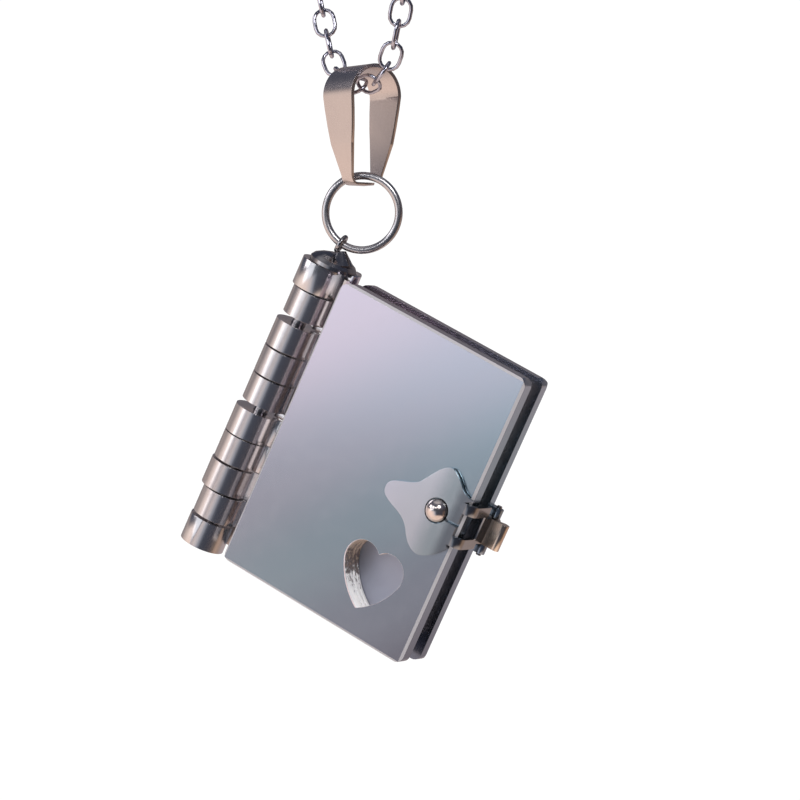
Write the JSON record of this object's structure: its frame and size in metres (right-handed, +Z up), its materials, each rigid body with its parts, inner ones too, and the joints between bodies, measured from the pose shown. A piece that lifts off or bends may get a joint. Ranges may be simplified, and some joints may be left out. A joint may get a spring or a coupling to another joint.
{
  "type": "book locket",
  "caption": "Book-shaped locket with hinged metal covers and pages, a heart window, a snap latch over a ball, and a bail on a fine cable chain.",
  "frame": {"origin": "neck rest: underside of the clasp at the top of the hanging chain loop", "axes": "+Z up, front cover facing -Y, spine on the -X side and fore-edge on the +X side as it hangs"},
  "size_m": [0.0834, 0.0384, 0.2242],
  "materials": {
    "chain_wire": "polished and lightly scratched",
    "bail_strip": "fine lengthwise brushing",
    "ring_wire": "polished",
    "pin_steel": "dark, lightly oxidised",
    "cover_steel": "satin with scratches and worn edges",
    "page_steel": "satin",
    "stud_steel": "polished",
    "latch_steel": "satin with bright edges"
  },
  "bodies": {
    "neck_chain": {"chain_left": "chain_wire", "chain_right": "chain_wire", "chain_clasp": "chain_wire"},
    "bail": {"bail": "bail_strip"},
    "ring": {"jump_ring": "ring_wire"},
    "locket": {"back_cover": "cover_steel", "hinge_pin": "pin_steel", "latch_pin": "pin_steel"},
    "page_3": {"page_3": "page_steel"},
    "page_2": {"page_2": "page_steel"},
    "page_1": {"page_1": "page_steel"},
    "front_cover": {"front_cover": "cover_steel", "ball_stud": "stud_steel"},
    "latch": {"latch": "latch_steel"}
  },
  "joints": [
    {"name": "bail_swing", "type": "hinge", "parent": "neck_chain", "child": "bail", "pos_m": [0, 0, -0.17426], "axis": [0.9121, -0.4099, 0], "range_deg": [-30, 30]},
    {"name": "ring_swing", "type": "hinge", "parent": "bail", "child": "ring", "pos_m": [0, 0, -0.18086], "axis": [0.9483, 0.3173, 0], "range_deg": [-30, 30]},
    {"name": "locket_swing", "type": "hinge", "parent": "ring", "child": "locket", "pos_m": [-0.00169, -0.00056, -0.18653], "axis": [-0.7768, -0.2599, 0.5736], "range_deg": [-40, 40]},
    {"name": "page_3_turn", "type": "hinge", "parent": "locket", "child": "page_3", "pos_m": [-0.00927, -0.0002, -0.19971], "axis": [-0.4478, 0, -0.8942], "range_deg": [0, 90]},
    {"name": "page_2_turn", "type": "hinge", "parent": "page_3", "child": "page_2", "pos_m": [-0.00927, -0.0002, -0.19971], "axis": [-0.4478, 0, -0.8942], "range_deg": [0, 75]},
    {"name": "page_1_turn", "type": "hinge", "parent": "page_2", "child": "page_1", "pos_m": [-0.00927, -0.0002, -0.19971], "axis": [-0.4478, 0, -0.8942], "range_deg": [0, 60]},
    {"name": "front_cover_turn", "type": "hinge", "parent": "page_1", "child": "front_cover", "pos_m": [-0.00927, -0.0002, -0.19971], "axis": [-0.4478, 0, -0.8942], "range_deg": [0, 60]},
    {"name": "latch_turn", "type": "hinge", "parent": "locket", "child": "latch", "pos_m": [0.011, 0.0016, -0.21025], "axis": [0.4478, 0, 0.8942], "range_deg": [0, 104.8]}
  ]
}
